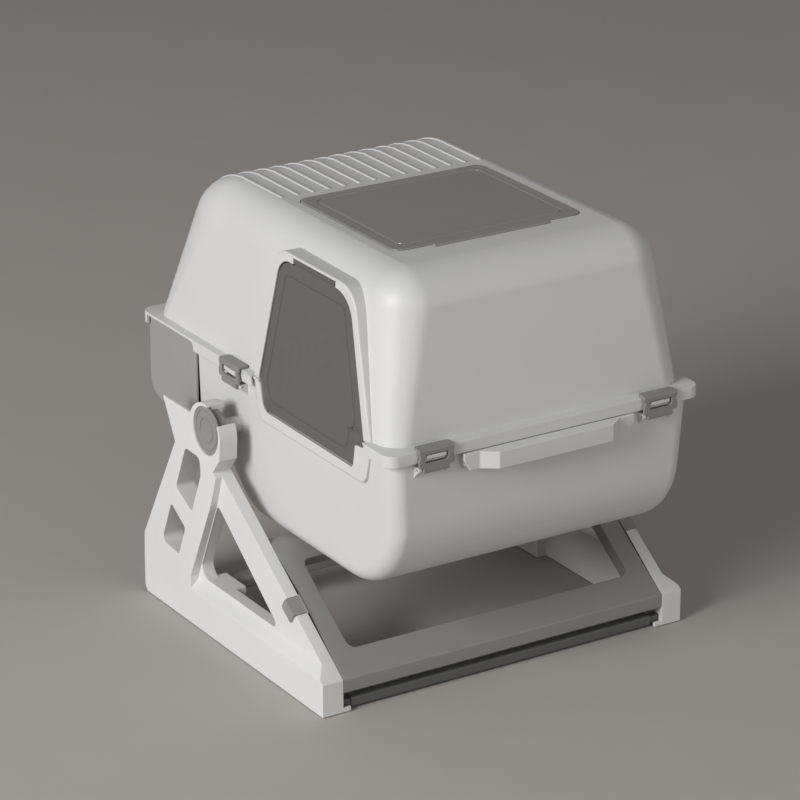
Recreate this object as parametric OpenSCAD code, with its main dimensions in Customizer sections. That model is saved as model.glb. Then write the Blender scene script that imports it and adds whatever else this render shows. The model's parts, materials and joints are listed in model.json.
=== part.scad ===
// Covered litter box that rocks back on two side pivots to sift its litter.
// X runs across, Y from the front to the back, Z up from the floor. Millimetres.

/* [Stand] */
// Overall width over the two side frames
stand_w = 500; // [480:1:540]
// Depth of the side frames from toe to heel
stand_d = 421; // [400:1:450]
// Thickness of the wide foot of a side frame
foot_t = 28; // [24:1:34]
// Thickness of the front leg
leg_t = 16; // [12:1:20]
// Thickness of the rear column
column_t = 24; // [20:1:26]
// Height of the wide foot
foot_h = 46; // [36:1:54]
// Height of the toe where the slope starts
toe_h = 42; // [36:1:50]
// Angle of the front slope
slope = 34.2; // [33:0.1:35]
// Rubber pad below the frames
pad_proud = 1; // [0.5:0.1:3]

/* [Pivot] */
// Distance of the pivot behind the toe
pivot_y = 269; // [262:1:276]
// Height of the pivot above the floor
pivot_z = 260; // [256:1:268]
// Radius of the knob's cap
cap_r = 29.5; // [27:0.5:31]
// Radius of the knob's journal
journal_r = 25; // [22:0.5:26]
// Wall of the saddle round the cap
saddle_wall = 7.4; // [6:0.1:9]

/* [Tub] */
// Room between the tub's rim and a side frame
tub_room = 19; // [17:0.5:26]
// Height of the tub from its floor to its rim
tub_h = 184; // [175:1:200]
// Pivot height above the tub's floor
tub_drop = 109; // [104:1:112]
// Wall of the tub, the hood and the drawer
wall = 3; // [2.4:0.1:3.6]
// Radius of the tub's rounded front bottom
belly_r = 100; // [70:1:110]
// Radius of the tub's rounded edges
edge_r = 20; // [14:1:24]
// Length of the tub behind the pivot
tub_behind = 91; // [86:1:96]

/* [Hood] */
// Length of the rim ahead of the pivot
rim_ahead = 348; // [340:1:360]
// Length of the rim behind the pivot
rim_behind = 219; // [215:1:230]
// How far the hood's rim stands out from the tub
rim_over = 8; // [7:0.5:9]
// Height of the rim's skirt
skirt_h = 14; // [11:1:17]
// Height of the hood above the rim
hood_h = 188; // [170:1:200]
// Number of ribs on the rear of the roof
rib_n = 14; // [6:1:16]
// Distance from rib to rib
rib_pitch = 21; // [18:0.5:22]
// Width of a rib
rib_w = 3.6; // [2.5:0.1:8]
// How far a rib stands out of the roof
rib_proud = 1.4; // [0.8:0.1:2]

/* [Doorway and roof window] */
// Flap's width at the top
flap_top_w = 149; // [110:1:156]
// Height of the flap above the rim
flap_up = 158; // [140:1:162]
// Depth of the doorway's notch below the rim
notch_d = 37; // [28:1:46]
// How far the doorway's plane leans in towards its top, degrees
door_lean = 2.1; // [0:0.1:3]
// Width of the raised border round the doorway
border_w = 12; // [9:0.5:14]
// Roof window length across
window_w = 252; // [200:1:256]
// Roof window depth
window_d = 215; // [180:1:220]

/* [Drawer and grate] */
// Length of the waste drawer
drawer_l = 115; // [100:1:117]
// Height of the drawer at its rear
drawer_h = 101; // [85:1:105]
// Slots in the grate
slot_n = 30; // [12:1:32]
// Width of each slot
slot_w = 6.5; // [4:0.5:7.5]

/* [Clips and handle] */
// Width of a clip
clip_w = 46; // [40:1:54]
// Distance of the front clips from the sides of the rim
clip_inset = 60; // [52:1:66]
// Clip thickness
clip_t = 3; // [2.4:0.1:3.4]
// Length of the grip across
grip_l = 230; // [200:1:236]
// Reach of the grip in front of the rim
grip_reach = 18; // [14:1:24]
// Height of the grip
grip_h = 21; // [16:1:24]

/* [Fits] */
// Radial clearance of every running fit
run_gap = 0.1; // [0.06:0.01:0.1]
// Gap between pieces that are clipped or laid together
seat_gap = 0.3; // [0.2:0.05:0.4]
// Gap round the flap
flap_gap = 1.5; // [1:0.1:2]

/* [Hidden] */
$fn = 64;
white = [0.82, 0.82, 0.81];
grey = [0.52, 0.51, 0.50];
dark = [0.36, 0.36, 0.36];
smoke = [0.42, 0.41, 0.40, 0.7];
steel = [0.75, 0.75, 0.77];
far = 700;                                   // longer than any piece, for cutters

// Levels and lines that several pieces share
out_x = stand_w / 2;
in_x = out_x - foot_t;                       // inner face of a side frame
tub_half = in_x - tub_room;                  // half width of the tub at its rim
rim_half = tub_half + rim_over;
floor_z = pivot_z - tub_drop;                // underside of the tub
top_z = floor_z + tub_h;                     // top of the tub's rim
skirt_z = top_z + wall - skirt_h;            // lower edge of the hood's skirt
rim_z = top_z + wall;                        // top of the hood's rim
roof_z = rim_z + hood_h;                     // flat roof of the hood
rim_y0 = pivot_y - rim_ahead;
rim_y1 = pivot_y + rim_behind;
tub_y1 = pivot_y + tub_behind;               // rear end of the tub's side walls
middle_y = (rim_y0 - grip_reach + rim_y1) / 2;
rise = tan(slope);
lean = 0.043;                                // draft of the tub's front wall
tub_y0 = rim_y0 + 6;                         // front wall at the rim
skirt_in = rim_half - wall;

function unit(v) = v / norm(v);
function turn(a) = a > 180 ? a - 360 : a < -180 ? a + 360 : a;
// Points of an arc of radius r that rounds corner b between a and c
function fillet(a, b, c, r, n) =
  r <= 0 ? [b] :
  let (u = unit(a - b), v = unit(c - b), half = acos(u * v) / 2,
    o = b + unit(u + v) * r / sin(half),
    s = b + u * r / tan(half) - o,
    e = b + v * r / tan(half) - o,
    a0 = atan2(s[1], s[0]),
    sweep = turn(atan2(e[1], e[0]) - a0))
  [for (i = [0:n]) o + r * [cos(a0 + sweep * i / n), sin(a0 + sweep * i / n)]];
// Outline p with its corners rounded by r, one radius or a list of them
function rounded(p, r, n = 6) =
  let (m = len(p))
  [for (i = [0:m - 1]) each fillet(p[(i + m - 1) % m], p[i], p[(i + 1) % m], is_list(r) ? r[i] : r, n)];
// Centre of the arc of radius r that rounds corner b between a and c
function arc_centre(a, b, c, r) =
  let (u = unit(a - b), v = unit(c - b))
  b + unit(u + v) * r / sin(acos(u * v) / 2);
// Anticlockwise outline p moved outward by d
function grow(p, d) =
  let (m = len(p))
  [for (i = [0:m - 1])
    let (u = unit(p[i] - p[(i + m - 1) % m]), v = unit(p[(i + 1) % m] - p[i]), k = [u[1], -u[0]], l = [v[1], -v[0]])
    p[i] + (k + l) * d / (1 + k * l)];
function rect(x0, x1, y0, y1) = [[x0, y0], [x1, y0], [x1, y1], [x0, y1]];
function slope_z(y) = toe_h + rise * y;

// Extrudes an outline drawn in (Y, Z) from x0 to x1
module along_x(x0, x1) {
  translate([x0, 0, 0]) rotate([90, 0, 90]) linear_extrude(x1 - x0) children();
}
// Extrudes an outline drawn in (X, Z) from y0 to y1
module along_y(y0, y1) {
  translate([0, y1, 0]) rotate([90, 0, 0]) linear_extrude(y1 - y0) children();
}
module box(x0, x1, y0, y1, z0, z1) {
  translate([x0, y0, z0]) cube([x1 - x0, y1 - y0, z1 - z0]);
}
// Round bar along X
module bar_x(x0, x1, y, z, r) {
  translate([x0, y, z]) rotate([0, 90, 0]) cylinder(h = x1 - x0, r = r);
}
// Round bar along Y
module bar_y(y0, y1, x, z, r) {
  translate([x, y0, z]) rotate([-90, 0, 0]) cylinder(h = y1 - y0, r = r);
}
module both_sides() {
  children();
  mirror([1, 0, 0]) children();
}
// Moves a piece from the stand's toe line to the middle of the whole object
module placed() {
  translate([0, -middle_y, 0]) children();
}

// Side frames: a triangle, a rear column and an open saddle with a horn behind it
saddle_r = cap_r + run_gap;
boss_r = saddle_r + saddle_wall;
boss_c = [pivot_y + 3, pivot_z - 4];
heel_z = 77;
throat = [pivot_y + 74, pivot_z - 38];
horn_z = pivot_z + 11;
horn_tip = [pivot_y + 103, horn_z];
neck = [pivot_y - 17, slope_z(pivot_y - 17)];
mouth_top = 97;                              // angles of the saddle's mouth about the pivot
mouth_front = 152;
rail_z = 62;                                 // top of the bottom rail
tab_y = [79, 99];                            // cross frame's tabs on the legs
tab_t = 3;
tenon = 6;
sill_y = [5, 19];
sill_z = [2, 15];
rear_bar_y = [pivot_y + 24, pivot_y + 48];
rear_bar_z = [34, 48];
bracket_t = 14;
horn_t = 4;                                  // the horn is a plate at the outer face

module frame_outline() {
  polygon([[0, pad_proud], [stand_d - 6, pad_proud], [stand_d, pad_proud + 6], [stand_d, heel_z], throat, horn_tip,
    [pivot_y + 25, horn_z], [pivot_y, pivot_z], [pivot_y - 32, pivot_z - 28], neck, [0, toe_h]]);
  translate(boss_c) circle(r = boss_r);
}
module column_outline() {
  intersection() {
    frame_outline();
    polygon([[pivot_y + 31, 0], [far, 0], [far, far], [-far, far], [-far, pivot_z - 36], [pivot_y - 29, pivot_z - 36],
      [pivot_y - 12, pivot_z - 90], [pivot_y + 37, rail_z]]);
  }
}
module triangle_window() {
  polygon(rounded([[116, rail_z], [pivot_y + 37, rail_z], [pivot_y - 12, pivot_z - 92]], [5, 15, 5]));
}
module column_slots() {
  polygon(rounded([[pivot_y + 34, pivot_z - 114], [pivot_y + 72, pivot_z - 95], [pivot_y + 49, pivot_z - 38],
    [pivot_y + 15, pivot_z - 39], [pivot_y + 12, pivot_z - 60]], [4, 5, 8, 9, 20]));
  polygon(rounded([[pivot_y + 66, 80], [pivot_y + 107, 84], [pivot_y + 84, pivot_z - 121],
    [pivot_y + 50, pivot_z - 141]], [5, 8, 4, 4]));
}
module saddle_mouth() {
  polygon([[0, 0], far * [cos(mouth_top), sin(mouth_top)], far * [-0.3, 1],
    far * [cos(mouth_front), sin(mouth_front)]]);
}
module side_frame() {
  color(white) difference() {
    union() {
      along_x(in_x, in_x + leg_t) frame_outline();
      intersection() {
        along_x(in_x, out_x) column_outline();
        along_y(0, stand_d) polygon([[in_x, 0], [out_x, 0], [out_x, foot_h], [in_x + column_t, pivot_z],
          [in_x + column_t, far], [in_x, far]]);
      }
      intersection() {
        along_x(in_x, out_x) frame_outline();
        along_y(0, stand_d) polygon([[in_x, 0], [out_x, 0], [out_x, foot_h], [in_x + leg_t, foot_h + 11],
          [in_x, foot_h + 11]]);
      }
      box(in_x - bracket_t, in_x, rear_bar_y[0] - 48, rear_bar_y[0] - seat_gap, pad_proud, rail_z);
      box(in_x - 10, in_x, 0, 4, pad_proud, 7);
    }
    along_x(0, far) triangle_window();
    along_x(0, far) column_slots();
    along_x(0, in_x + column_t - horn_t) difference() {
      polygon(rect(pivot_y + 25, far, pivot_z - 34, far));
      translate(boss_c) circle(r = boss_r);
    }
    bar_x(in_x + leg_t + 1, far, pivot_y, pivot_z, saddle_r);
    bar_x(0, far, pivot_y, pivot_z, journal_r + run_gap);
    translate([0, pivot_y, pivot_z]) along_x(0, far) saddle_mouth();
    tab_recess();
    box(0, in_x + tenon + 1, sill_y[0] + 2 - seat_gap, sill_y[1] - 2 + seat_gap, sill_z[0] + 2 - seat_gap,
      sill_z[1] - 2 + seat_gap);
    box(0, in_x + tenon + 1, rear_bar_y[0] + 3 - seat_gap, rear_bar_y[1] - 3 + seat_gap, rear_bar_z[0] + 3 - seat_gap,
      rear_bar_z[1] - 3 + seat_gap);
    for (p = pad_places) box(p[0], p[1], p[2], p[3], 0, pad_depth);
  }
}
// Runs of the rubber pads under one frame: x0, x1, y0, y1
pad_depth = pad_proud + 1.5;
pad_places = [for (y = [14, stand_d - 74]) [in_x + 6, out_x - 6, y, y + 60]];

module rubber_feet() {
  color(dark) both_sides() for (p = pad_places) box(p[0], p[1], p[2], p[3], 0, pad_depth);
}

// Sloping cross frame, hollow from behind, with tabs that lap over the legs
frame_t = 18;
cross_half = in_x - seat_gap;
land_y = (floor_z - seat_gap - toe_h) / rise;   // where the slope reaches the tub's floor
stile_w = 27;
window_y = [31, 136];
module on_slope() {
  translate([0, 0, toe_h]) rotate([slope, 0, 0]) children();
}
module cross_outline() {
  drop = frame_t / cos(slope);
  polygon([[0, toe_h - 17], [(toe_h - 17 - toe_h + drop) / rise, toe_h - 17],
    [land_y + 21, slope_z(land_y + 21) - drop], [land_y + 17, floor_z - seat_gap], [land_y, floor_z - seat_gap],
    [0, toe_h]]);
}
function along(y) = y / cos(slope);
module front_cross_frame() {
  s0 = along(window_y[0]);
  s1 = along(window_y[1]);
  half = cross_half - stile_w;
  color(grey) difference() {
    union() {
      along_x(-cross_half, cross_half) cross_outline();
      both_sides() on_slope() {
        box(cross_half - 1, in_x + leg_t + tab_t, along(tab_y[0]), along(tab_y[1]), -tab_t, 0);
        box(in_x + leg_t, in_x + leg_t + tab_t, along(tab_y[0]), along(tab_y[1]), -15, -tab_t);
      }
    }
    on_slope() {
      translate([0, 0, -far / 2]) linear_extrude(far) polygon(rounded(rect(-half, half, s0, s1), 10));
      box(-half, half, s1 + wall, along(land_y) - wall, -far, -wall);
      box(-half, half, 12, s0 - wall, -far, -wall);
      both_sides() box(half + wall, cross_half - wall, s0, s1, -far, -wall);
    }
  }
}
module tab_recess() {
  g = seat_gap;
  on_slope() {
    box(0, far, along(tab_y[0]) - g, along(tab_y[1]) + g, -tab_t - g, 1);
    box(in_x + leg_t, far, along(tab_y[0]) - g, along(tab_y[1]) + g, -15 - g, 1);
  }
}
module front_sill_bar() {
  half = in_x - 13;
  color(dark) {
    difference() {
      along_x(-half, half) polygon(rounded(rect(sill_y[0], sill_y[1], sill_z[0], sill_z[1]), 3));
      along_x(-half + 6, half - 6) polygon(rect(sill_y[0] + 3, sill_y[1] - 3, 0, sill_z[1] - 3));
    }
    both_sides() box(half, in_x + tenon, sill_y[0] + 2, sill_y[1] - 2, sill_z[0] + 2, sill_z[1] - 2);
  }
}
module rear_cross_bar() {
  half = in_x - seat_gap;
  color(grey) {
    along_x(-half, half) polygon(rounded(rect(rear_bar_y[0], rear_bar_y[1], rear_bar_z[0], rear_bar_z[1]), 3));
    both_sides() box(half - 1, in_x + tenon, rear_bar_y[0] + 3, rear_bar_y[1] - 3, rear_bar_z[0] + 3,
      rear_bar_z[1] - 3);
  }
}

// Doorway: one outline in (Y, Z) gives the flap, its opening and the raised border
flap_z0 = rim_z - notch_d - 2;
flap_z1 = top_z + flap_up;
flap_y0 = rim_y0 + 63;                       // front edge at the bottom corner
flap_y1 = flap_y0 + 229;                     // widest point at the rear
flap_mid = pivot_y - 172;                    // middle of the flap's top
flap_step = rim_z - 9;                       // the step at the flap's front corner
flap_wide = top_z + 3;                       // where the flap is widest
flap_outline = [[flap_y0 + 22, flap_z0], [flap_y1 - 12, flap_z0 + 2], [flap_y1, flap_wide],
  [flap_mid + flap_top_w / 2, flap_z1], [flap_mid - flap_top_w / 2, flap_z1], [flap_y0, flap_step],
  [flap_y0 + 19, flap_step - 2]];
flap_round = [4, 12, 4, 26, 34, 3, 3];
door_hull = [[flap_y0 + 4, flap_z0 - 1], [flap_y1 - 10, flap_z0 - 1], [flap_y1, flap_wide],
  [flap_mid + flap_top_w / 2, flap_z1], [flap_mid - flap_top_w / 2, flap_z1], [flap_y0 - 3, flap_step]];
door_round = [14, 16, 6, 28, 36, 10];
face_x = skirt_in - 2;                       // outer face of the raised border
flap_t = 3;
hinge_z = flap_z1 + 5.5;
hinge_x = face_x - 3;
hinge_y = [flap_mid - 43.5, flap_mid + 45];
pin_r = 1.6;
door_in = -face_x + 56;                      // how far in the border's walls run before the hood and tub cut them
door_back = door_in + 50;                    // cutters of the opening end here
groove = [14, 2, 12];                        // groove near the edge of a smoky piece: distance, width, corner
groove_d = 0.8;
// Leans the doorway's pieces in about the lower edge of the flap
module leant() {
  translate([-face_x, 0, flap_z0]) rotate([0, door_lean, 0]) translate([face_x, 0, -flap_z0]) children();
}
module doorway_cut() {
  leant() {
    along_x(-far, -tub_half + 40) polygon(grow(rounded(flap_outline, flap_round), flap_gap));
    along_x(-far, -tub_half + 40) polygon(rect(hinge_y[0] - 1.5, hinge_y[1] + 1.5, flap_z1 - 12, hinge_z + 4.5));
  }
}
module border_shell() {
  leant() difference() {
    along_x(-face_x, door_in) polygon(rounded(grow(door_hull, border_w), door_round));
    along_x(-face_x + wall, door_back) polygon(rounded(grow(door_hull, border_w - wall), door_round));
  }
}
module entry_flap() {
  x0 = -face_x + 1.5;
  color(smoke) leant() difference() {
    union() {
      along_x(x0, x0 + flap_t) polygon(rounded(flap_outline, flap_round));
      bar_y(hinge_y[0], hinge_y[1], -hinge_x, hinge_z, 3.6);
      box(x0, x0 + flap_t, hinge_y[0], hinge_y[1], flap_z1 - 6, hinge_z);
    }
    along_x(-far, x0 + groove_d) difference() {
      polygon(rounded(grow(flap_outline, -groove[0]), groove[2]));
      polygon(rounded(grow(flap_outline, -groove[0] - groove[1]), groove[2] - 1));
    }
    bar_y(-far, far, -hinge_x, hinge_z, pin_r + run_gap);
  }
}
module entry_flap_pin() {
  color(steel) leant() bar_y(hinge_y[0] - 7, hinge_y[1] + 7, -hinge_x, hinge_z, pin_r);
}

// Tub: a tapering form with a deep rounded front, a ramp at the rear and soft edges all round
side_lean = 5;                               // how much the sides draw in from the rim to the floor
front_x = tub_half - side_lean;
side_in = tub_half - side_lean * (tub_h - tub_drop) / (tub_h - edge_r) - wall;   // wall's inner face at the pivot
ramp_y = pivot_y - 14;
ramp_rise = 0.883;
ramp_r = 70;                                 // rounding between the floor and the ramp
over_top = 40;                               // how far the inside's cutter passes the rim
over_back = 60;                              // and the open rear
front_top = [tub_y0, top_z];
front_low = [tub_y0 + lean * tub_h, floor_z];
ramp_low = [ramp_y, floor_z];
ramp_high = [tub_y1 + over_back, floor_z + (tub_y1 + over_back - ramp_y) * ramp_rise];
module edge_ring(c, r, d) {
  both_sides() translate([front_x - edge_r, c[0], c[1]]) rotate([0, 90, 0])
    rotate_extrude($fn = 48) translate([r - edge_r, 0]) circle(r = edge_r - d, $fn = 24);
}
// The form shrunk by d, going up above the rim and back past the open rear
module tub_form(d, up, back) {
  ramp_n = unit([-ramp_rise, 1]);
  intersection() {
    hull() {
      translate([0, 0, top_z - 1]) linear_extrude(1 + up)
        polygon(rounded(grow(rect(-tub_half, tub_half, tub_y0, tub_y1 + over_back), -d), edge_r - d, 8));
      edge_ring(arc_centre(front_top, front_low, ramp_low, belly_r), belly_r, d);
      edge_ring(arc_centre(front_low, ramp_low, ramp_high, ramp_r), ramp_r, d);
      both_sides() translate([front_x - edge_r, ramp_high[0] + ramp_n[0] * edge_r, ramp_high[1] + ramp_n[1] * edge_r])
        sphere(r = edge_r - d, $fn = 24);
    }
    box(-far, far, -far, tub_y1 + back, 0, top_z + up);
  }
}
lip_x = skirt_in - 1.5;                      // outer edge of the tub's lip
rail_x = tub_half - 17;                      // drawer rail's web
rail_drop = 19;
rail_z0 = top_z - wall - rail_drop;
rail_y1 = tub_y1 + drawer_l - 2 * wall;      // rails stop ahead of the drawer's rear wall
grate_t = 4;
grate_y = tub_y1 - 6.5;
guide_w = 10;
ear_gap = 0.5;
ear_t = 5;
clip_hinge = [1.5, skirt_z - 8.6];           // clip's pin behind the skirt's face, and its height
clip_pin_r = 1.5;
clip_x = rim_half - clip_inset;
clip_reach = 5;                              // clip's face ahead of the skirt
knuckle_w = clip_w - 12;
module clip_place_front() {
  for (s = [-1, 1]) translate([s * clip_x, rim_y0, 0]) children();
}
clip_side_y = pivot_y - 4;
module clip_place_side() {
  translate([-rim_half, clip_side_y, 0]) rotate([0, 0, -90]) children();
  translate([rim_half, clip_side_y, 0]) rotate([0, 0, 90]) children();
}
// Ears on the tub that carry one clip's pin
module clip_ears(root) {
  both_sides() difference() {
    along_x(knuckle_w / 2 + ear_gap, knuckle_w / 2 + ear_gap + ear_t) {
      translate(clip_hinge) circle(r = 3.6);
      polygon([[clip_hinge[0], clip_hinge[1] - 3.6], [root, clip_hinge[1] - 12], [root, clip_hinge[1] + 3.6],
        [clip_hinge[0], clip_hinge[1] + 3.6]]);
    }
    bar_x(-far, far, clip_hinge[0], clip_hinge[1], clip_pin_r + 0.02);
  }
}
module grate_guides() {
  for (y = [grate_y - seat_gap - 3, grate_y + grate_t + seat_gap])
    both_sides() box(tub_half - 16, tub_half, y, y + 3, floor_z, top_z - 12);
}
module lip_ring() {
  difference() {
    linear_extrude(wall) polygon(rounded(rect(-lip_x, lip_x, rim_y0 + 4.5, tub_y1), [12, 12, 0, 0]));
    translate([0, 0, -1]) linear_extrude(wall + 2)
      polygon(rounded(rect(-tub_half + wall, tub_half - wall, tub_y0 + wall, far), [edge_r - wall, edge_r - wall, 0, 0]));
  }
}
// Rails behind the tub that carry the drawer's ledges and the rear of the hood
module drawer_rails() {
  both_sides() along_y(tub_y1 - 2, rail_y1) polygon([[rail_x, rail_z0], [rail_x + 14, rail_z0],
    [rail_x + 14, rail_z0 + wall], [rail_x + wall, rail_z0 + wall], [rail_x + wall, top_z - wall],
    [rail_x + 14, top_z - wall], [rail_x + 14, top_z], [rail_x, top_z]]);
}
module litter_tub() {
  color(white) difference() {
    union() {
      difference() {
        tub_form(0, 0, 0);
        tub_form(wall, over_top, over_back);
      }
      intersection() {
        grate_guides();
        tub_form(1, 0, 0);
      }
      translate([0, 0, top_z - wall]) lip_ring();
      drawer_rails();
      intersection() {
        border_shell();
        box(-far, 0, -far, far, 0, top_z);
        difference() {
          box(-far, 0, -far, far, 0, far);
          tub_form(wall, over_top, over_back);
        }
      }
      both_sides() bar_x(side_in + 0.5, boss_end, pivot_y, pivot_z, journal_r - 0.5);
      both_sides() translate([grip_fix_x, 0, 0]) box(-7, 7, tub_y0, tub_y0 + 2, grip_z - 6, grip_z + 6);
      clip_place_front() clip_ears(tub_y0 - rim_y0 + 2);
      clip_place_side() clip_ears(rim_half - tub_half + 2);
    }
    doorway_cut();
    both_sides() bar_x(0, far, pivot_y, pivot_z, screw_r + 0.3);
    both_sides() bar_y(-far, 0, grip_fix_x, grip_z, 2.3);
  }
}

// Grate between the ramp and the drawer
module sieve_grate() {
  half = tub_half - wall - 5;
  z0 = floor_z + (grate_y + grate_t - ramp_y) * ramp_rise + wall / cos(atan(ramp_rise)) + seat_gap;
  z1 = top_z - 23;
  rim = 10;                                  // solid edge at each side of the slots
  pitch = 2 * (half - rim) / slot_n;
  color(white) difference() {
    along_y(grate_y, grate_y + grate_t) polygon(rounded(rect(-half, half, z0, z1), [edge_r + 4, edge_r + 4, 4, 4]));
    for (i = [0:slot_n - 1])
      translate([-half + rim + (i + 0.5) * pitch - slot_w / 2, grate_y - 1, z0 + 7])
        cube([slot_w, grate_t + 2, z1 - z0 - 14]);
  }
}

// Drawer: open top, inward lips that ride on the tub's rails, finger pull at the rear
drawer_y0 = tub_y1 + 1.5;
drawer_y1 = drawer_y0 + drawer_l;
drawer_z1 = rim_z - wall - 0.5;              // its edge runs just below the hood's rim
ledge_z = rail_z0 + wall + seat_gap;         // underside of the ledges that ride on the rails
drawer_half = tub_half + 2.5;
drawer_z0 = drawer_z1 - drawer_h;
drawer_fall = 13;                            // how far its floor drops towards the grate
pull_half = 45;
pull_z = [ledge_z - 33, ledge_z - 13];
pull_d = 14;
module drawer_outline(d, up) {
  polygon(rounded(grow([[drawer_y0, drawer_z0 - drawer_fall], [drawer_y1, drawer_z0], [drawer_y1, drawer_z1 + up],
    [drawer_y0, drawer_z1 + up]], -d), [4, 26 - d, 0, 0]));
}
module drawer_section(d, up) {
  along_y(-far, far) polygon(rounded(rect(-drawer_half + d, drawer_half - d, drawer_z0 - drawer_fall + d,
    drawer_z1 + up), [12 - d, 12 - d, 0, 0]));
}
module waste_drawer() {
  sill = floor_z + (tub_y1 - ramp_y) * ramp_rise;
  color(grey) {
    difference() {
      intersection() {
        along_x(-drawer_half, drawer_half) drawer_outline(0, 0);
        drawer_section(0, 0);
      }
      difference() {
        intersection() {
          along_x(-drawer_half + wall, drawer_half - wall) drawer_outline(wall, 30);
          drawer_section(wall, 30);
        }
        box(-pull_half - wall, pull_half + wall, drawer_y1 - pull_d - wall, drawer_y1, pull_z[0] - wall,
          pull_z[1] + wall);
      }
      box(-drawer_half + wall, drawer_half - wall, drawer_y0 - 1, drawer_y0 + wall + 1, sill, far);
      box(-pull_half, pull_half, drawer_y1 - pull_d, drawer_y1 + 1, pull_z[0], pull_z[1]);
    }
    both_sides() box(drawer_half - 14, drawer_half - wall + 0.5, drawer_y0 + wall, drawer_y1 - wall, ledge_z, ledge_z + 3);
  }
}

// Hood: a tapering rounded shell over a rim with a skirt
hood_half = rim_half - 11;
hood_y0 = rim_y0 + 17;
hood_y1 = rim_y1 - 16;
front_ball = [48, 52, 42];
rear_ball = [50, 95, 70];
top_half = hood_half - 15;
module ball(c, r, d) {
  translate(c) scale([r[0] - d, r[1] - d, r[2] - d]) sphere(r = 1, $fn = 36);
}
module hood_form(d, z0) {
  hull() {
    translate([0, 0, z0]) linear_extrude(rim_z + 3 - z0)
      polygon(rounded(grow(rect(-hood_half, hood_half, hood_y0, hood_y1), -d), 30 - d));
    for (s = [-1, 1]) {
      ball([s * (top_half - front_ball[0]), hood_y0 + 14 + front_ball[1], roof_z - front_ball[2]], front_ball, d);
      ball([s * (top_half - rear_ball[0]), hood_y1 - 23 - rear_ball[1], roof_z - rear_ball[2]], rear_ball, d);
    }
  }
}
win_y0 = pivot_y - 227;
win_y1 = win_y0 + window_d;
win_half = window_w / 2;
win_t = 3.5;
lid_top = roof_z + 0.8;
seat_z = lid_top - win_t - seat_gap;
win_hinge = [win_y0 - 4, lid_top - 3];
hinge_half = 77;
module hood_rim() {
  difference() {
    translate([0, 0, skirt_z]) linear_extrude(skirt_h)
      polygon(rounded(rect(-rim_half, rim_half, rim_y0, rim_y1), 15));
    translate([0, 0, skirt_z - 1]) linear_extrude(skirt_h + 1 - wall)
      polygon(rounded(rect(-skirt_in, skirt_in, rim_y0 + wall, rim_y1 - wall), 12));
    translate([0, 0, rim_z - 20]) linear_extrude(40)
      polygon(rounded(rect(-hood_half + wall, hood_half - wall, hood_y0 + wall, hood_y1 - wall), 27));
    leant() along_x(-far, 0) polygon(rounded(grow(door_hull, border_w - wall / 2), door_round));
    along_x(-far, far) polygon(rounded([[tub_y1 - 2, skirt_z - 9], [rim_hook_y, skirt_z - 9], [rim_hook_y, rim_z - wall],
      [tub_y1 - 2, rim_z - wall]], [0, 0, 0, 8]));
    box(-drawer_half - 0.5, drawer_half + 0.5, tub_y1 + 5, far, skirt_z - 9, rim_z - wall);
  }
}
rim_hook_y = rim_y1 - 16;                    // the skirt is cut away over the drawer, up to a hook at each rear corner
module roof_ribs() {
  intersection() {
    hood_form(-rib_proud, rim_z + 3);
    for (i = [0:rib_n - 1])
      translate([(i - (rib_n - 1) / 2) * rib_pitch, 0, roof_z - 60]) linear_extrude(far)
        polygon(rounded(rect(-rib_w / 2, rib_w / 2, win_y1 + 15, hood_y1 - 50), 1, 3));
  }
}
module hood() {
  color(white) difference() {
    union() {
      difference() {
        union() {
          hood_form(0, rim_z - wall);
          roof_ribs();
        }
        difference() {
          hood_form(wall, rim_z - 20);
          box(-win_half - 8, win_half + 8, win_y0 - 14, win_y1 + 8, seat_z - 7, far);
        }
        leant() along_x(-far, door_back) polygon(rounded(grow(door_hull, border_w - wall), door_round));
      }
      intersection() {
        difference() {
          border_shell();
          hood_form(wall, rim_z - 20);
        }
        box(-far, 0, -far, far, top_z, far);
      }
      for (y = [hinge_y[0] - 8.5, hinge_y[1] + 1.5])
        leant() box(-face_x, -hinge_x + 4, y, y + 7, hinge_z - 3.8, hinge_z + 4.5);
      hood_rim();
      clip_hooks();
    }
    doorway_cut();
    leant() bar_y(hinge_y[0] - 7.5, hinge_y[1] + 7.5, -hinge_x, hinge_z, pin_r + 0.02);
    translate([0, 0, seat_z]) linear_extrude(far)
      polygon(rounded(rect(-win_half - 1, win_half + 1, win_y0 - 1, win_y1 + 1), 13));
    translate([0, 0, seat_z - 60]) linear_extrude(far)
      polygon(rounded(rect(-win_half + 9, win_half - 9, win_y0 + 10, win_y1 - 9), 8));
    box(-hinge_half - 0.5, hinge_half + 0.5, win_y0 - 9, win_y0, lid_top - 7, far);
    bar_x(-hinge_half - 7.5, hinge_half + 7.5, win_hinge[0], win_hinge[1], pin_r + 0.02);
  }
}
hook_z = [skirt_z + 4.5, skirt_z + 9];
hook_half = 13;
slot_half = hook_half + 2.5;
slot_z = [skirt_z, hook_z[1] + 1.2];
module hook() {
  box(-hook_half, hook_half, 1 - clip_reach, 1, hook_z[0], hook_z[1]);
}
module clip_hooks() {
  clip_place_front() hook();
  clip_place_side() hook();
}
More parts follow.
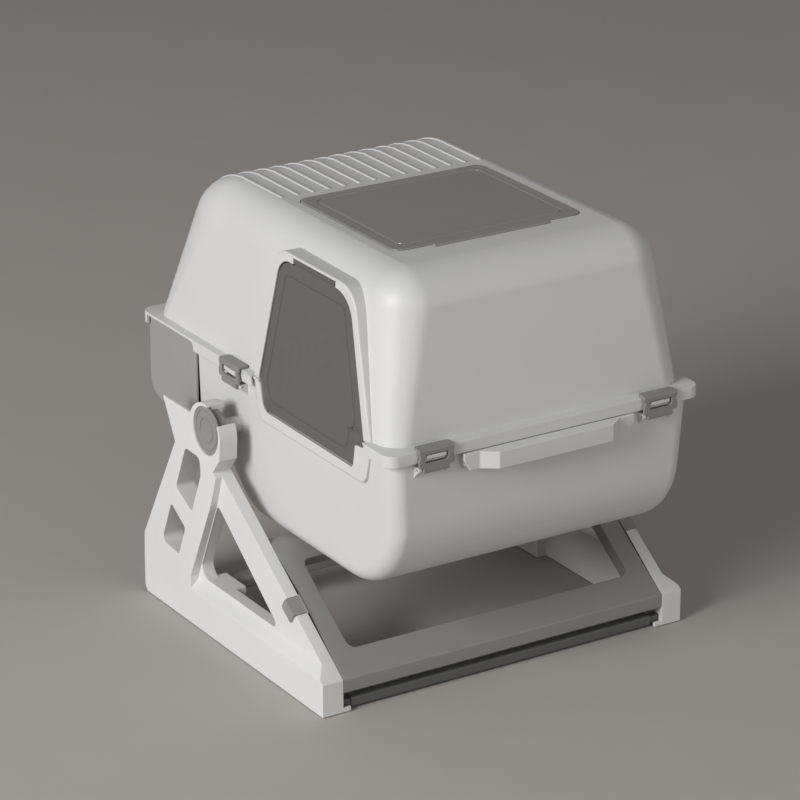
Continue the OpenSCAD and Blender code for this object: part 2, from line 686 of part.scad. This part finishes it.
module top_window() {
  color(smoke) difference() {
    union() {
      translate([0, 0, lid_top - win_t]) linear_extrude(win_t)
        polygon(rounded(rect(-win_half, win_half, win_y0, win_y1), 12));
      bar_x(-hinge_half, hinge_half, win_hinge[0], win_hinge[1], 3);
      box(-hinge_half, hinge_half, win_hinge[0], win_y0 + 2, lid_top - win_t, lid_top);
    }
    translate([0, 0, lid_top - groove_d]) linear_extrude(2) difference() {
      polygon(rounded(grow(rect(-win_half, win_half, win_y0, win_y1), -groove[0]), groove[2]));
      polygon(rounded(grow(rect(-win_half, win_half, win_y0, win_y1), -groove[0] - groove[1]), groove[2] - 2));
    }
    bar_x(-far, far, win_hinge[0], win_hinge[1], pin_r + run_gap);
  }
}
module top_window_pin() {
  color(steel) bar_x(-hinge_half - 7, hinge_half + 7, win_hinge[0], win_hinge[1], pin_r);
}

// Knobs: cap, groove and journal in the saddle, screwed from inside the tub
screw_r = 4;
cap_x = [in_x + leg_t + 2, in_x + column_t - 1.5];
boss_end = in_x + 7;
module pivot_knob() {
  depth = 1.2;
  color(grey) difference() {
    union() {
      bar_x(cap_x[0] + 2, cap_x[1], pivot_y, pivot_z, cap_r);
      bar_x(cap_x[0] - 1, cap_x[0] + 2, pivot_y, pivot_z, journal_r - 4);
      bar_x(boss_end, cap_x[0] - 1, pivot_y, pivot_z, journal_r);
    }
    for (r = [cap_r - 4, cap_r - 14]) difference() {
      bar_x(cap_x[1] - depth, far, pivot_y, pivot_z, r);
      bar_x(0, far, pivot_y, pivot_z, r - 2);
    }
    bar_x(0, cap_x[1] - 3, pivot_y, pivot_z, screw_r);
  }
}
module pivot_screws() {
  color(steel) both_sides() difference() {
    union() {
      bar_x(side_in - seat_gap - 5, side_in - seat_gap, pivot_y, pivot_z, 8);
      bar_x(side_in - seat_gap, cap_x[1] - 4, pivot_y, pivot_z, screw_r);
    }
    bar_x(0, side_in - 3, pivot_y, pivot_z, 4, $fn = 6);
  }
}

// Handle: a grip closed at the top and open below, on two tabs under the front of the rim
grip_z = skirt_z - grip_h / 2;
grip_y = rim_y0 - grip_reach;
grip_fix_x = 105;
grip_t = 5;                                  // thickness of the grip's front
module front_handle() {
  bar_half = grip_l / 2 - 38;
  back_y = rim_y0 - 1;
  color(white) difference() {
    union() {
      intersection() {
        union() {
          translate([0, 0, skirt_z - grip_h]) linear_extrude(grip_h) polygon([[-bar_half, grip_y], [bar_half, grip_y],
            [grip_l / 2 - 20, back_y - 4], [grip_l / 2, back_y - 4], [grip_l / 2, back_y + 1],
            [grip_l / 2 - 22, back_y + 1], [bar_half - 3, grip_y + grip_t], [-bar_half + 3, grip_y + grip_t],
            [-grip_l / 2 + 22, back_y + 1], [-grip_l / 2, back_y + 1], [-grip_l / 2, back_y - 4],
            [-grip_l / 2 + 20, back_y - 4]]);
          translate([0, 0, skirt_z - wall]) linear_extrude(wall) polygon([[-bar_half, grip_y], [bar_half, grip_y],
            [grip_l / 2 - 20, back_y + 1], [-grip_l / 2 + 20, back_y + 1]]);
        }
        along_y(-far, far) polygon([[-grip_l / 2 + 8, skirt_z - grip_h], [grip_l / 2 - 8, skirt_z - grip_h],
          [grip_l / 2, skirt_z - 8], [grip_l / 2, skirt_z], [-grip_l / 2, skirt_z], [-grip_l / 2, skirt_z - 8]]);
      }
      both_sides() translate([grip_fix_x, 0, 0]) box(-7, 7, back_y, tub_y0, grip_z - 6, grip_z + 6);
    }
    both_sides() bar_y(back_y - 1, far, grip_fix_x, grip_z, 2);
  }
}
module handle_screws() {
  color(steel) both_sides() {
    bar_y(rim_y0 + 1, tub_y0 + wall + 2, grip_fix_x, grip_z, 2);
    bar_y(tub_y0 + wall + 1.6, tub_y0 + wall + 4.8, grip_fix_x, grip_z, 4.5);
  }
}

// Clips: a channel that wraps the rim, turns on a pin under the skirt and has a slot for the hood's hook
module clip() {
  y0 = -clip_reach;
  low = clip_hinge[1] - 3.4;
  top = rim_z + seat_gap + clip_t;
  half = clip_w / 2;
  color(grey) difference() {
    union() {
      along_x(-knuckle_w / 2, knuckle_w / 2) {
        translate(clip_hinge) circle(r = 3.4);
        polygon(rounded([[y0, low], [clip_hinge[0], low], [clip_hinge[0], low + clip_t], [y0 + clip_t, low + clip_t],
          [y0 + clip_t, skirt_z], [y0, skirt_z]], [2.5, 0, 0, 0, 0, 0]));
      }
      intersection() {
        along_x(-half, half) polygon(rounded([[y0, skirt_z - 5], [y0 + clip_t, skirt_z - 5],
          [y0 + clip_t, top - clip_t], [clip_lip, top - clip_t], [clip_lip, top], [y0, top]], [0, 0, 0, 0, 0, 3]));
        along_y(-far, far) polygon(rounded([[-half, skirt_z - 5], [half, skirt_z - 5], [half, hook_z[0]],
          [half - 1.5, hook_z[0] + 1.5], [half - 1.5, hook_z[1] + 1], [half, hook_z[1] + 2.5], [half, top + 6],
          [-half, top + 6], [-half, hook_z[1] + 2.5], [-half + 1.5, hook_z[1] + 1],
          [-half + 1.5, hook_z[0] + 1.5], [-half, hook_z[0]]], [2, 2, 0, 0, 0, 0, 6, 6, 0, 0, 0, 0]));
        linear_extrude(far) polygon(rounded(rect(-half, half, -far, clip_lip), [0, 0, 5, 5]));
      }
    }
    along_y(-far, 0) polygon(rounded(rect(-slot_half, slot_half, slot_z[0], slot_z[1]), [4, 4, 1, 1]));
    bar_x(-far, far, clip_hinge[0], clip_hinge[1], clip_pin_r + run_gap);
  }
}
clip_lip = 10;                               // how far the clip's top reaches back over the rim
module latch_pins() {
  half = knuckle_w / 2 + ear_gap + ear_t - 0.5;
  color(steel) {
    clip_place_front() bar_x(-half, half, clip_hinge[0], clip_hinge[1], clip_pin_r);
    clip_place_side() bar_x(-half, half, clip_hinge[0], clip_hinge[1], clip_pin_r);
  }
}

placed() mirror([1, 0, 0]) side_frame();  // side_frame_left
placed() side_frame();  // side_frame_right
placed() front_cross_frame();
placed() front_sill_bar();
placed() rear_cross_bar();
placed() rubber_feet();
placed() litter_tub();
placed() sieve_grate();
placed() waste_drawer();
placed() hood();
placed() entry_flap();
placed() entry_flap_pin();
placed() top_window();
placed() top_window_pin();
placed() mirror([1, 0, 0]) pivot_knob();  // pivot_knob_left
placed() pivot_knob();  // pivot_knob_right
placed() pivot_screws();
placed() front_handle();
placed() handle_screws();
placed() translate([-clip_x, rim_y0, 0]) clip();  // latch_front_left
placed() translate([clip_x, rim_y0, 0]) clip();  // latch_front_right
placed() translate([-rim_half, clip_side_y, 0]) rotate([0, 0, -90]) clip();  // latch_side_left
placed() translate([rim_half, clip_side_y, 0]) rotate([0, 0, 90]) clip();  // latch_side_right
placed() latch_pins();
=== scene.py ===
import json
import math

import bmesh
import bpy
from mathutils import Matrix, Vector


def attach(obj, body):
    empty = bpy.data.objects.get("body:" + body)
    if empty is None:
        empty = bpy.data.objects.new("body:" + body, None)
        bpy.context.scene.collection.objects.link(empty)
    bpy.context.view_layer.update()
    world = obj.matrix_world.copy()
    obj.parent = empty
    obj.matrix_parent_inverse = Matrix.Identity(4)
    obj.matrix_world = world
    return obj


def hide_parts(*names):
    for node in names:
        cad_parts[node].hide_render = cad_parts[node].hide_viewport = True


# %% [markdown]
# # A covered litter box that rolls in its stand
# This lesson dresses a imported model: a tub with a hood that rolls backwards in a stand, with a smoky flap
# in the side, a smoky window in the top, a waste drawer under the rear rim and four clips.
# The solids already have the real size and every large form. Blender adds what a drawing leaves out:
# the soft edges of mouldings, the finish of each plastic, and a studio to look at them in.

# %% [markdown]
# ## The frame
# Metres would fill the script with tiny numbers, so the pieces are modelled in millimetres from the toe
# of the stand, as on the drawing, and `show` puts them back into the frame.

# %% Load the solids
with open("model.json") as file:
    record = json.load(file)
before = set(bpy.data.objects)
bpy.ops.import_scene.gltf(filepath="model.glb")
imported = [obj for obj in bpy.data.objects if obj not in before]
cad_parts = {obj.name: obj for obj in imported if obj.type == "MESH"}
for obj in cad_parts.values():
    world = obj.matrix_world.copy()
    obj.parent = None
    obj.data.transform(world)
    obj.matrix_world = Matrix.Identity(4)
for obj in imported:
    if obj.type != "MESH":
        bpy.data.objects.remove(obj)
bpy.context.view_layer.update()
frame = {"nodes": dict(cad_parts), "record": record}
nodes = frame["nodes"]
record = frame["record"]
body_of = {node: body for body, group in record["behaviour"]["bodies"].items() for node in group}
MM = 0.001
MIDDLE = 195.5                     # from the stand's toe line to the frame's origin

# %% [markdown]
# ## Shader maths
# A material is a graph of nodes, and joining them one by one takes several lines for each sum.
# A wire wraps one output socket and overloads the operators that are used here, so that
# `cloud * 0.12 + 0.4` adds its Math nodes by itself. Colours don't go through it, because a Math node
# turns a colour grey. They are mixed by a Mix node, which comes from `Finish.node` as any other node does.

# %% Wires


def feed(tree, target, value):
    """Links a wire to an input, or sets the input's own value."""
    if isinstance(value, Wire):
        tree.links.new(value.socket, target)
    else:
        target.default_value = value


class Wire:
    """An output socket that takes part in sums and products."""

    def __init__(self, tree, socket):
        self.tree = tree
        self.socket = socket

    def maths(self, operation, *values):
        node = self.tree.nodes.new("ShaderNodeMath")
        node.operation = operation
        for target, value in zip(node.inputs, values):
            feed(self.tree, target, value)
        return Wire(self.tree, node.outputs[0])

    def __add__(self, other):
        return self.maths("ADD", self, other)

    def __radd__(self, other):
        return self.maths("ADD", other, self)

    def __mul__(self, other):
        return self.maths("MULTIPLY", self, other)

    def __rmul__(self, other):
        return self.maths("MULTIPLY", other, self)


# %% A material and its shader


class Finish:
    """A material and its Principled shader."""

    def __init__(self, name, **constants):
        self.material = bpy.data.materials.new(name)
        self.material.use_nodes = True
        self.tree = self.material.node_tree
        self.surface = self.tree.nodes["Principled BSDF"]
        self.set(**constants)

    def node(self, kind, settings, sockets, output=0):
        """Adds a node of any kind: its settings first, then its inputs' values or wires."""
        node = self.tree.nodes.new(kind)
        for name, value in settings.items():
            setattr(node, name, value)
        for key, value in sockets.items():
            feed(self.tree, node.inputs[key], value)
        return Wire(self.tree, node.outputs[output])

    def set(self, **sockets):
        """Sets or links sockets of the shader, with their names' spaces written as underscores."""
        for name, value in sockets.items():
            feed(self.tree, self.surface.inputs[name.replace("_", " ")], value)


# %% [markdown]
# ## Moulded plastic
# Every housing of the real box is satin polypropylene. It is never one flat colour: flow and cooling leave
# slow clouds in its tone and gloss, and the mould's own texture gives a fine grain that dulls reflections.
# A picture of plastic would stretch over the curved walls. Noise on Object coordinates fits any piece,
# so one function makes all the finishes, and each of them names only its colours, gloss and grain.

# %% One recipe for all plastics
CLOUD_SCALE = 9.0                  # clouds of about a hand's width
GRAIN_SCALE = 1400.0               # grain of less than a millimetre
GRAIN_DEPTH = 0.0001
GLOSS_SPREAD = 0.12                # how much the roughness differs between clouds
FACTOR, FIRST, SECOND = 0, 6, 7    # a Mix node's inputs when it mixes colours
MIXED_COLOUR = 2                   # and its output


def moulded(name, pale, dark, rough, grain=0.25, **constants):
    """A plastic with clouds between two tones around a middle roughness, and a fine grain."""
    finish = Finish(name, **constants)
    place = finish.node("ShaderNodeTexCoord", {}, {}, "Object")
    cloud = finish.node("ShaderNodeTexNoise", {}, {"Vector": place, "Scale": CLOUD_SCALE, "Detail": 3.0})
    speck = finish.node("ShaderNodeTexNoise", {}, {"Vector": place, "Scale": GRAIN_SCALE, "Detail": 2.0})
    colour = finish.node("ShaderNodeMix", {"data_type": "RGBA"}, {FACTOR: cloud, FIRST: dark, SECOND: pale},
                         MIXED_COLOUR)
    bump = finish.node("ShaderNodeBump", {}, {"Height": speck, "Strength": grain, "Distance": GRAIN_DEPTH})
    finish.set(Base_Color=colour, Roughness=cloud * GLOSS_SPREAD + (rough - GLOSS_SPREAD / 2), Normal=bump)
    return finish.material


print("plastics share clouds of scale", CLOUD_SCALE, "and grain of scale", GRAIN_SCALE)

# %% [markdown]
# ## Whites and greys
# The tub and hood are a slightly softer white than the stand, which comes from another mould and batch.
# The knobs and cross frame share one grey, the clips are a little darker, and the drawer is lighter.
# A separate material for each keeps those small differences, which a shared one would lose.

# %% Opaque plastics
white = moulded("white plastic", (0.64, 0.64, 0.638, 1), (0.6, 0.6, 0.598, 1), 0.45)
frame_white = moulded("white plastic of the stand", (0.71, 0.71, 0.7, 1), (0.67, 0.67, 0.66, 1), 0.45)
grey = moulded("grey plastic", (0.275, 0.273, 0.27, 1), (0.25, 0.248, 0.245, 1), 0.42)
clip_grey = moulded("clip plastic", (0.25, 0.247, 0.243, 1), (0.225, 0.223, 0.22, 1), 0.42)
drawer_grey = moulded("drawer plastic", (0.33, 0.325, 0.315, 1), (0.305, 0.3, 0.29, 1), 0.45)
dark = moulded("dark plastic", (0.12, 0.12, 0.12, 1), (0.10, 0.10, 0.10, 1), 0.5)
rubber = moulded("rubber", (0.05, 0.05, 0.05, 1), (0.04, 0.04, 0.04, 1), 0.8)
print(len(bpy.data.materials), "opaque plastics")

# %% [markdown]
# ## Smoky panels and steel
# Flap and window are smoky sheets: one sees a little of the inside through them, and they are glossier
# than the housings. Real refraction would be noisy and slow for a thin flat sheet, so Alpha lets the inside
# through and a thin coat gives the gloss. The window's paler tones are a painted reflection of the room's
# light.
# Screws and pins are plated steel, which is the same recipe with Metallic set.

# %% Panels and fasteners
PANEL = {"grain": 0.1, "Alpha": 0.72, "Coat_Weight": 0.3}
PANEL_ROUGH = 0.25
# the window's paler base colours are a painted reflection of the room's light, not a paler plastic
window_smoke = moulded("smoky plastic with painted reflection", (0.37, 0.366, 0.362, 1), (0.33, 0.326, 0.322, 1),
                       PANEL_ROUGH, **PANEL)
flap_smoke = moulded("smoky plastic", (0.16, 0.156, 0.152, 1), (0.14, 0.136, 0.132, 1), PANEL_ROUGH, **PANEL)
steel = moulded("plated steel", (0.6, 0.6, 0.62, 1), (0.5, 0.5, 0.52, 1), 0.35, 0.1, Metallic=1.0)
print(len(bpy.data.materials), "finishes in all")

# %% [markdown]
# ## Who wears what
# Each solid gets its finish even where a softer copy takes its place later, because the solid is kept
# beside the copy. A table that goes from finish to nodes reads like the box's list of colours.

# %% Finishes of the nodes
FINISHES = {
    white: ("litter_tub", "sieve_grate", "hood", "front_handle"),
    frame_white: ("side_frame_left", "side_frame_right"),
    grey: ("front_cross_frame", "rear_cross_bar", "pivot_knob_left", "pivot_knob_right"),
    clip_grey: ("latch_front_left", "latch_front_right", "latch_side_left", "latch_side_right"),
    drawer_grey: ("waste_drawer",),
    dark: ("front_sill_bar",),
    rubber: ("rubber_feet",),
    flap_smoke: ("entry_flap",),
    window_smoke: ("top_window",),
    steel: ("entry_flap_pin", "top_window_pin", "pivot_screws", "handle_screws", "latch_pins"),
}
finish_of = {node: material for material, group in FINISHES.items() for node in group}
for node, material in finish_of.items():
    nodes[node].data.materials.clear()
    nodes[node].data.materials.append(material)
print(len(finish_of), "nodes with a finish")

# %% [markdown]
# ## From solid to model
# A solid comes in as loose triangles, so no operator can follow its edges yet. `opened` copies it, turns it
# into millimetres and merges the corners. The solid itself is never touched.
# `round_edges` then bevels the edges that are really sharp. The facets of a curved wall meet at small
# angles, and a limit on the angle leaves them alone.

# %% Open a solid and round its edges
CORNER_GAP = 0.003                 # corners closer than this are one


def opened(node):
    """A solid's mesh in millimetres from the toe."""
    bm = bmesh.new()
    bm.from_mesh(nodes[node].data)
    bmesh.ops.scale(bm, verts=bm.verts, vec=(1 / MM, 1 / MM, 1 / MM))
    bmesh.ops.translate(bm, verts=bm.verts, vec=(0, MIDDLE, 0))
    bmesh.ops.remove_doubles(bm, verts=bm.verts, dist=CORNER_GAP)
    return bm


def round_edges(bm, width, segments=2, least=28.0, where=lambda edge: True):
    """Rounds the edges sharper than `least` degrees, and says how many they were."""
    edges = [e for e in bm.edges if e.is_manifold and e.calc_face_angle(0) > math.radians(least) and where(e)]
    bmesh.ops.bevel(bm, geom=edges, offset=width, segments=segments, profile=0.5, affect="EDGES", material=-1)
    return len(edges)


print("edges sharper than 28 degrees can be rounded")

# %% [markdown]
# ## From model to piece
# A curved wall of facets should look smooth, and the edge of a slot should stay crisp. Plain smooth shading
# smears light over flat walls, so each corner of a face gets its own normal: the mean of the faces around
# it that lie nearly in its plane, weighted by area. The large flat faces then keep their true direction
# and the narrow bevels take up the turn.
# `show` puts the model into the frame and rides it on the body of the node that it stands for.

# %% Soft shading and pieces
SOFT_ANGLE = 35.0                  # faces that meet at less than this shade as one surface
SEAM_GAP = 0.002


def soft_normals(bm):
    """A normal for each corner of each face, in the mesh's own order."""
    limit = math.cos(math.radians(SOFT_ANGLE))
    area = {face: face.calc_area() for face in bm.faces}
    normals = []
    for face in bm.faces:
        for vert in face.verts:
            total = Vector()
            for other in vert.link_faces:
                if other.normal.dot(face.normal) > limit:
                    total += other.normal * area[other]
            normals.append(total.normalized() if total.length else face.normal)
    return normals


def show(name, bm, material, node, *replaced):
    """Makes a piece of a model in millimetres. It moves with the node's body and may replace nodes."""
    bmesh.ops.remove_doubles(bm, verts=bm.verts, dist=SEAM_GAP)
    bmesh.ops.recalc_face_normals(bm, faces=bm.faces)
    bmesh.ops.translate(bm, verts=bm.verts, vec=(0, -MIDDLE, 0))
    bmesh.ops.scale(bm, verts=bm.verts, vec=(MM, MM, MM))
    bm.normal_update()
    for face in bm.faces:
        face.smooth = True
    mesh = bpy.data.meshes.new(name)
    bm.to_mesh(mesh)
    mesh.normals_split_custom_set(soft_normals(bm))
    mesh.materials.append(material)
    bm.free()
    thing = bpy.data.objects.new(name, mesh)
    bpy.context.collection.objects.link(thing)
    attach(thing, body_of[node])
    if replaced:
        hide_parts(*replaced)
    print(name, len(mesh.polygons), "faces")


def soften(node, bm, width):
    """Rounds the edges of a node's model and shows it in the node's place."""
    round_edges(bm, width)
    show("soft_" + node, bm, finish_of[node], node, node)


# %% [markdown]
# ## Side frames
# Each side frame is one white moulding: a foot, two legs and a saddle for the drum's pivot. On the real one
# the saddle's front edge runs straight down into the front leg. The solid's ring curves back there and
# leaves a notch. A new model would repeat the whole drawing, so the few corners of the ring's lower front
# are moved to the straight line instead, and then all edges get a moulding's small radius.

# %% Straight shoulders and soft edges
PIVOT_Y = 269
PIVOT_Z = 260
RECESS_RADIUS = 33.5               # nearer the pivot than this, a corner belongs to the knob's recess
SHOULDER_REAR = 242                # the ring's corners in front of this are its front edge
SHOULDER_TOP = 257
SHOULDER_FOOT = 232.2              # just over the corner with the leg
SADDLE_FRONT = 235
SHOULDER_SLOPE = 0.08
FRAME_EDGE = 1.0


def straighten_shoulder(bm):
    """Moves the ring's lower front corners onto one straight line, and says how many they were."""
    moved = 0
    for vert in bm.verts:
        y, z = vert.co.y, vert.co.z
        on_rim = math.hypot(y - PIVOT_Y, z - PIVOT_Z) > RECESS_RADIUS
        if on_rim and y < SHOULDER_REAR and SHOULDER_FOOT < z < SHOULDER_TOP:
            vert.co.y = SADDLE_FRONT + (SHOULDER_TOP - z) * SHOULDER_SLOPE
            moved += 1
    return moved


for node in ("side_frame_left", "side_frame_right"):
    side_frame = opened(node)
    print(straighten_shoulder(side_frame), "corners of a shoulder")
    soften(node, side_frame, FRAME_EDGE)

# %% [markdown]
# ## Bars, feet and the drum's small pieces
# These solids have their right forms already. What tells a moulding from a drawing is its edges: none of
# them is sharp, and the light catches each as a thin line. A Bevel modifier would round the facets of the
# curves too, so each copy is bevelled once with `round_edges`, by a radius that suits the piece: wide on
# the thick cross frame, small on the clips, and hardly any on turned screws and pins.

# %% Bars, drawer, grate and handle
EDGE_WIDTHS = {
    "front_cross_frame": 1.5, "front_sill_bar": 1.0, "rear_cross_bar": 1.0, "rubber_feet": 0.5,
    "waste_drawer": 1.0, "sieve_grate": 0.6, "front_handle": 1.2,
}
for node, width in EDGE_WIDTHS.items():
    soften(node, opened(node), width)

# %% Panels, knobs and clips
THIN_EDGE = 0.6
for node in ("entry_flap", "top_window", "pivot_knob_left", "pivot_knob_right",
             "latch_front_left", "latch_front_right", "latch_side_left", "latch_side_right"):
    soften(node, opened(node), THIN_EDGE)

# %% Screws and pins
SCREW_EDGE = 0.4
PIN_EDGE = 0.3
for node in ("pivot_screws", "handle_screws"):
    soften(node, opened(node), SCREW_EDGE)
for node in ("latch_pins", "entry_flap_pin", "top_window_pin"):
    soften(node, opened(node), PIN_EDGE)

# %% [markdown]
# ## The border round the doorway
# Hood and tub share a raised border that frames the flap. On the real mouldings it melts into the wall on
# its outer side and stays crisp towards the flap. So the outer edges have to be told from the inner ones:
# they lie on the border's leaning face, between it and a wall that looks away from the doorway's middle.

# %% Find the border's outer edges
BORDER_OUT = -206                  # the border's face at the height where its lean begins
LEAN_FROM = 299
LEAN = math.radians(2.1)
BORDER_FRONT = -50
BORDER_REAR = 235
BORDER_FOOT = 283
DOOR_Y = 100
DOOR_Z = 400
ON_FACE = 0.6                      # how near to the face an edge's middle lies
SIDEWAYS = 0.5                     # a wall's normal has less of X than this


def face_of(z):
    """X of the border's outer face at a height."""
    return BORDER_OUT + (z - LEAN_FROM) * math.tan(LEAN)


def on_border(edge):
    """True where the border's face turns outward, away from the doorway."""
    middle = (edge.verts[0].co + edge.verts[1].co) / 2
    walls = [face for face in edge.link_faces if abs(face.normal.x) < SIDEWAYS]
    away = middle - Vector((middle.x, DOOR_Y, DOOR_Z))
    return (abs(middle.x - face_of(middle.z)) < ON_FACE and BORDER_FRONT < middle.y < BORDER_REAR
            and middle.z > BORDER_FOOT and len(walls) == 1 and walls[0].normal.dot(away) > 0)


print("the border leans in by", round(math.degrees(LEAN), 1), "degrees")

# %% [markdown]
# ## Hood
# The hood is one thin white shell with a rim flange, the upper half of the border, a sunk seat for the
# window and ribs at the rear. Its border gets a wide rounding in four steps and the other edges a small
# one. The underside of the rear rim is left sharp, because the drawer passes half a millimetre below it
# and a bevel's corner could touch.

# %% Hood shell
HOOD_BORDER = 2.2
SHELL_EDGE = 0.8
DRAWER_FROM = 350
RIM_UNDER = 337


def clear_of_drawer(edge):
    """False under the rear of the rim."""
    return not all(vert.co.y > DRAWER_FROM and vert.co.z < RIM_UNDER for vert in edge.verts)


hood = opened("hood")
border_edges = round_edges(hood, HOOD_BORDER, 4, where=on_border)
other_edges = round_edges(hood, SHELL_EDGE, where=clear_of_drawer)
show("hood_shell", hood, white, "hood", "hood")
print(border_edges, "edges of the border and", other_edges, "others")

# %% [markdown]
# ## Tub
# The tub is the lower shell, with the lower half of the border and a pivot neck on each side. The solid's
# necks fill their saddles, as the joint needs, but hardly any of them shows on the real box.
# Scaling a neck's corners towards its axis makes it slim and keeps it joined to the wall. The side wall
# leans a little, so the corners at the neck's root also slide in X to stay on the wall.

# %% Slim necks and tub shell
WALL_OUT = 201.7                   # half the tub's width at WALL_HEIGHT
WALL_HEIGHT = 292
WALL_SLOPE = 0.033
SKIN = 0.6                         # corners this far inside the wall's face still count as on it
ROOT = 1                           # and this far outside it they belong to the neck's root
NECK_RADIUS = 25.5
NECK_SHARE = 0.38                  # the slim neck's radius as a share of the solid one's
TUB_BORDER = 1.2


def wall_of(z):
    """Half the tub's width over its side walls at a height."""
    return WALL_OUT + (z - WALL_HEIGHT) * WALL_SLOPE


def slim_necks(bm):
    """Scales the pivot necks towards their axis, and says how many corners that moved."""
    necks = [v for v in bm.verts if abs(v.co.x) > wall_of(v.co.z) - SKIN
             and math.hypot(v.co.y - PIVOT_Y, v.co.z - PIVOT_Z) < NECK_RADIUS]
    for vert in necks:
        x = abs(vert.co.x)
        y = PIVOT_Y + (vert.co.y - PIVOT_Y) * NECK_SHARE
        z = PIVOT_Z + (vert.co.z - PIVOT_Z) * NECK_SHARE
        if x < wall_of(vert.co.z) + ROOT:
            x += wall_of(z) - wall_of(vert.co.z)
        vert.co = Vector((math.copysign(x, vert.co.x), y, z))
    return len(necks)


tub = opened("litter_tub")
neck_corners = slim_necks(tub)
border_edges = round_edges(tub, TUB_BORDER, 3, where=on_border)
other_edges = round_edges(tub, SHELL_EDGE)
show("tub_shell", tub, white, "litter_tub", "litter_tub")
print(neck_corners, "corners of the necks,", border_edges, "edges of the border and", other_edges, "others")

# %% [markdown]
# ## Cheeks in front of the drawer
# Behind the ramp the tub's side walls run on a little and end close to the drawer, so that no dark gap
# shows between them. Each cheek starts as a block. Its outer face follows the lean of the wall, half a
# millimetre inside it, so that the joint reads as a fine line of the moulding.

# %% Cheeks
CHEEK_TOP = 326
CHEEK_FOOT = 243
CHEEK_FRONT = 335
CHEEK_REAR = 361.2
CHEEK_SUNK = 0.5                   # its outer face lies this far inside the wall's
CHEEK_DEPTH = 2.5                  # and its inner face this far

cheeks = bmesh.new()
for side in (-1, 1):
    for vert in bmesh.ops.create_cube(cheeks, size=1)["verts"]:
        sunk = CHEEK_SUNK if vert.co.x > 0 else CHEEK_DEPTH
        y = CHEEK_REAR if vert.co.y > 0 else CHEEK_FRONT
        z = CHEEK_TOP if vert.co.z > 0 else CHEEK_FOOT
        vert.co = Vector((side * (wall_of(z) - sunk), y, z))
show("drawer_cheeks", cheeks, white, "litter_tub")

# %% [markdown]
# ## Floor
# The box stands on a plain pale floor. It is large enough that its edge stays out of the photograph's view.
# It has the plastics' clouds with almost no grain, so that it looks like painted board.

# %% Floor
FLOOR_SIZE = 8
bpy.ops.mesh.primitive_plane_add(size=FLOOR_SIZE, location=(0, 0, 0))
floor = bpy.context.object
floor.name = "floor"
floor.data.materials.append(moulded("floor", (0.46, 0.44, 0.415, 1), (0.44, 0.42, 0.395, 1), 0.7, 0.05))
print("floor of", FLOOR_SIZE, "m")

# %% [markdown]
# ## Light
# The photograph has one soft light from the left and a weak one from the front: the doorway's side is
# nearly white and the front with the handle a middle grey. Large discs give the soft shadow edges that
# small lamps can't. The world fills the shadows evenly, so that no side is black from behind.

# %% Lamps and world


def lamp(name, place, aim, size, power):
    """A round area lamp that looks at a point."""
    data = bpy.data.lights.new(name, "AREA")
    data.shape = "DISK"
    data.size = size
    data.energy = power
    thing = bpy.data.objects.new(name, data)
    bpy.context.collection.objects.link(thing)
    thing.location = place
    thing.rotation_euler = (Vector(aim) - Vector(place)).to_track_quat("-Z", "Y").to_euler()
    print(name, power, "W")


lamp("key", (-4.9, -1.3, 2.45), (0, 0, 0.15), 2.6, 260)
lamp("fill", (1.2, -3.6, 0.9), (0, 0, 0.1), 3.0, 25)
world = bpy.data.worlds.new("studio")
world.use_nodes = True
background = world.node_tree.nodes["Background"].inputs
background["Color"].default_value = (0.5, 0.49, 0.48, 1)
background["Strength"].default_value = 0.42
bpy.context.scene.world = world

# %% [markdown]
# ## Camera
# The straight edges of the stand give the photograph's view: a long lens from the front left and above.
# The angles are written as how far the camera looks down and how far it is turned from the front.
# Standard view keeps each finish at the tone that it is written with.

# %% Camera and view
LOOKS_DOWN = 21.43
TURNED = 32.07
camera_data = bpy.data.cameras.new("camera")
camera_data.lens = 170.55
camera_data.sensor_width = 36
camera = bpy.data.objects.new("camera", camera_data)
bpy.context.collection.objects.link(camera)
camera.location = (-2.23033, -3.52102, 1.90794)
camera.rotation_euler = (math.radians(90 - LOOKS_DOWN), 0, math.radians(-TURNED))
bpy.context.scene.camera = camera
bpy.context.scene.view_settings.view_transform = "Standard"
print("lens", round(camera_data.lens, 2), "mm")
